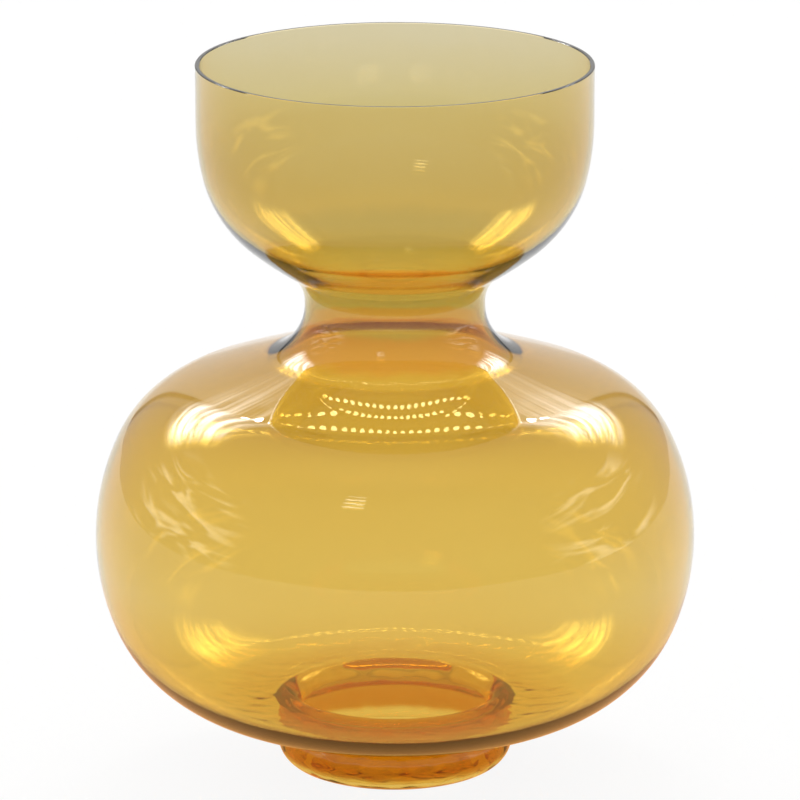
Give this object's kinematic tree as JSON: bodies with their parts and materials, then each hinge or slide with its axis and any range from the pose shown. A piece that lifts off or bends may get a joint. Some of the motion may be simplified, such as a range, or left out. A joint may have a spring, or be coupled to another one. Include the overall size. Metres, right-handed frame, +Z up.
{
  "type": "gourd vase",
  "caption": "Amber glass gourd vase with an open upper cup, a short waisted neck, a squat round bulb and a low hollow foot under a pinched waist.",
  "frame": {"origin": "middle of the ring that the vase stands on, at table height", "axes": "+Z up the vase's axis towards the open rim; it is round, so X and Y are any two level directions"},
  "size_m": [0.25, 0.25, 0.3003],
  "materials": {
    "amber_glass": "clear body-tinted amber glass, fire polished, with a flat polished rim"
  },
  "bodies": {
    "root": {"upper_cup": "amber_glass", "neck": "amber_glass", "bulb": "amber_glass", "foot": "amber_glass", "base_disc": "amber_glass"}
  },
  "joints": []
}
